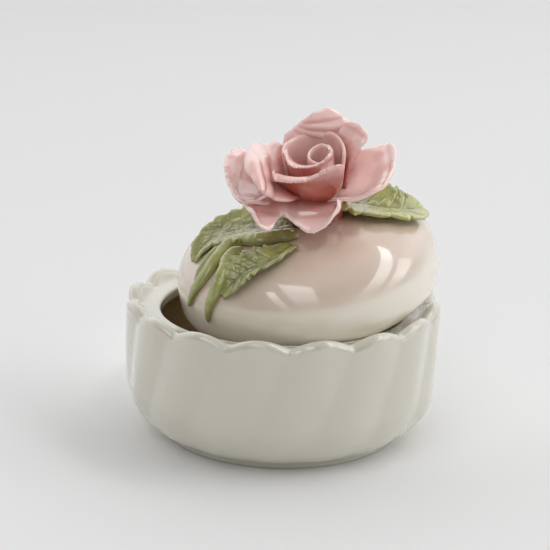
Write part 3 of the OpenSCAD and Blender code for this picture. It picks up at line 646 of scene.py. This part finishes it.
# ------------------------------------------------------- floor, light, camera
def build_floor():
    me = bpy.data.meshes.new("floor")
    s = 4.0
    n = 24
    g = np.linspace(-s, s, n + 1)
    vv = [(x, y, 0) for y in g for x in g]
    ff = [(j * (n + 1) + i, j * (n + 1) + i + 1, (j + 1) * (n + 1) + i + 1, (j + 1) * (n + 1) + i) for j in range(n) for i in range(n)]
    me.from_pydata(vv, [], ff)
    ob = bpy.data.objects.new("floor", me)
    bpy.context.scene.collection.objects.link(ob)
    m = bpy.data.materials.new("pale_floor")
    m.use_nodes = True
    b = m.node_tree.nodes["Principled BSDF"]
    b.inputs["Roughness"].default_value = 0.75
    ns = m.node_tree.nodes.new("ShaderNodeTexNoise")
    ns.inputs["Scale"].default_value = 3.0
    mx = m.node_tree.nodes.new("ShaderNodeMix")
    mx.data_type = "RGBA"
    mx.inputs["A"].default_value = (0.86, 0.86, 0.865, 1)
    mx.inputs["B"].default_value = (0.88, 0.88, 0.88, 1)
    tc = m.node_tree.nodes.new("ShaderNodeTexCoord")
    m.node_tree.links.new(tc.outputs["Object"], ns.inputs["Vector"])
    m.node_tree.links.new(ns.outputs["Fac"], mx.inputs["Factor"])
    m.node_tree.links.new(mx.outputs["Result"], b.inputs["Base Color"])
    me.materials.append(m)


build_floor()


def window(name, left_top, right_top, left_foot, right_foot, glows, dist=3.0, n=12):
    """A tall lit pane seen from the object between four (azimuth, elevation) corners."""
    def way(c):
        a, e = math.radians(c[0]), math.radians(c[1])
        return np.array([math.cos(a) * math.cos(e), math.sin(a) * math.cos(e), math.sin(e)])
    lt, rt_, lf, rf = map(way, (left_top, right_top, left_foot, right_foot))
    vv = []
    for j in range(n + 1):
        t = j / n
        a, b = unit(lf * (1 - t) + lt * t), unit(rf * (1 - t) + rt_ * t)
        for i in range(n + 1):
            p = unit(a * (1 - i / n) + b * i / n) * dist
            vv.append((float(p[0]), float(p[1]), max(0.01, float(p[2]) + 0.04)))
    ff = [(j * (n + 1) + i, j * (n + 1) + i + 1, (j + 1) * (n + 1) + i + 1, (j + 1) * (n + 1) + i) for j in range(n) for i in range(n)]
    me = bpy.data.meshes.new(name)
    me.from_pydata(vv, [], ff)
    ob = bpy.data.objects.new(name, me)
    bpy.context.scene.collection.objects.link(ob)
    m = bpy.data.materials.new(name)
    m.use_nodes = True
    m.node_tree.nodes.clear()
    em = m.node_tree.nodes.new("ShaderNodeEmission")
    at = m.node_tree.nodes.new("ShaderNodeAttribute")
    at.attribute_name = "glow"
    m.node_tree.links.new(at.outputs["Fac"], em.inputs["Strength"])
    glow = me.attributes.new("glow", "FLOAT", "POINT")
    rows = np.interp(np.linspace(0, 1, n + 1), [0, 0.22, 0.5, 0.65, 0.8, 1], [glows[0], glows[0], glows[1], glows[1], glows[2], glows[2]])
    glow.data.foreach_set("value", np.repeat(rows, n + 1).astype(np.float32))
    out = m.node_tree.nodes.new("ShaderNodeOutputMaterial")
    m.node_tree.links.new(em.outputs[0], out.inputs[0])
    me.materials.append(m)
    ob.visible_camera = False
    return ob


window("window_right_a", (63, 62), (36, 60), (303, 1), (323, 1), (0.5, 3.2, 5.4))
window("window_right_b", (9, 46), (14, 24), (330, 1), (347, 1), (0.6, 2.9, 2.6))
window("window_left_a", (212, 46), (221, 47), (247, 1), (254, 1), (0.8, 1.9, 3.4))
window("window_left_b", (200, 62), (255, 58), (262, 1), (278, 1), (0.35, 1.6, 2.7))



def rose_lamp(power, azim, elev, dist, cone):
    """A soft lamp over the rose, which stands a little brighter than the box."""
    aim = Vector(from_rose(np.array([0.0, 0.0, 19.0])) * MM)
    a, e = math.radians(azim), math.radians(elev)
    way = Vector((math.cos(a) * math.cos(e), math.sin(a) * math.cos(e), math.sin(e)))
    la = bpy.data.lights.new("rose_lamp", "SPOT")
    la.energy = power
    la.spot_size = math.radians(cone)
    la.spot_blend = 1.0
    la.shadow_soft_size = 0.03
    ob = bpy.data.objects.new("rose_lamp", la)
    bpy.context.scene.collection.objects.link(ob)
    ob.matrix_world = Matrix.Translation(aim + way * dist) @ way.to_track_quat("Z", "Y").to_matrix().to_4x4()
    ob.visible_glossy = False


rose_lamp(5.8, 298, 56, 0.6, 5.6)

w = bpy.data.worlds.new("room")
bpy.context.scene.world = w
w.use_nodes = True
nt = w.node_tree
bg = nt.nodes["Background"]
tc = nt.nodes.new("ShaderNodeTexCoord")
sx = nt.nodes.new("ShaderNodeSeparateXYZ")
nt.links.new(tc.outputs["Generated"], sx.inputs[0])


def band(sock, lo, hi, soft):
    """1 between lo and hi of one direction component, fading over 2*soft."""
    a = nt.nodes.new("ShaderNodeMapRange")
    a.inputs["From Min"].default_value = lo - soft
    a.inputs["From Max"].default_value = lo + soft
    b = nt.nodes.new("ShaderNodeMapRange")
    b.inputs["From Min"].default_value = hi + soft
    b.inputs["From Max"].default_value = hi - soft
    k = nt.nodes.new("ShaderNodeMath")
    k.operation = "MULTIPLY"
    nt.links.new(sock, a.inputs["Value"])
    nt.links.new(sock, b.inputs["Value"])
    nt.links.new(a.outputs[0], k.inputs[0])
    nt.links.new(b.outputs[0], k.inputs[1])
    return k.outputs[0]


def calc(op, a, b):
    k = nt.nodes.new("ShaderNodeMath")
    k.operation = op
    for i, q in enumerate((a, b)):
        if isinstance(q, float):
            k.inputs[i].default_value = q
        else:
            nt.links.new(q, k.inputs[i])
    return k.outputs[0]


# a room that is bright behind the box and above it, dim where the viewer is
SX, SY, SZ = sx.outputs["X"], sx.outputs["Y"], sx.outputs["Z"]
ROOM = [(0.40, [(SZ, 0.8, 2, 0.15)]),
        (1.30, [(SZ, 0.35, 0.8, 0.15), (SY, 0, 2, 0.3)]),
        (0.02, [(SZ, 0.35, 0.8, 0.15), (SY, -2, 0, 0.3)]),
        (0.90, [(SZ, -2, 0.35, 0.15), (SY, 0.3, 2, 0.3)]),
        (0.02, [(SZ, -2, 0.35, 0.15), (SY, -2, -0.3, 0.3)]),
        (0.80, [(SZ, -2, 0.35, 0.15), (SY, -0.3, 0.3, 0.3), (SX, -2, 0, 0.3)]),
        (0.10, [(SZ, -2, 0.35, 0.15), (SY, -0.3, 0.3, 0.3), (SX, 0, 2, 0.3)])]
total = 0.0
for power, limits in ROOM:
    part = power
    for q in limits:
        part = calc("MULTIPLY", part, band(*q))
    total = calc("ADD", total, part)
cb = nt.nodes.new("ShaderNodeCombineColor")
for i in range(3):
    nt.links.new(total, cb.inputs[i])
nt.links.new(cb.outputs[0], bg.inputs["Color"])
bg.inputs["Strength"].default_value = 1.0

bpy.context.scene.view_settings.view_transform = "Standard"

# Camera at the viewing angle of the picture
cd = bpy.data.cameras.new("camera")
cd.sensor_width = 36.0
cd.lens = 1500.0 / 550.0 * 36.0
cd.clip_start, cd.clip_end = 0.01, 20
co = bpy.data.objects.new("camera", cd)
bpy.context.scene.collection.objects.link(co)
pitch, yaw, roll = math.radians(16.33), math.radians(-0.34), math.radians(1.21)
fw = Vector((math.sin(yaw) * math.cos(pitch), math.cos(yaw) * math.cos(pitch), -math.sin(pitch)))
rt = fw.cross(Vector((0, 0, 1))).normalized()
up = rt.cross(fw)
r2 = rt * math.cos(roll) + up * math.sin(roll)
u2 = -rt * math.sin(roll) + up * math.cos(roll)
co.matrix_world = Matrix.Translation((0, -0.3654, 0.1468)) @ Matrix((
    (r2.x, u2.x, -fw.x, 0), (r2.y, u2.y, -fw.y, 0), (r2.z, u2.z, -fw.z, 0), (0, 0, 0, 1)))
bpy.context.scene.camera = co
bpy.context.view_layer.update()
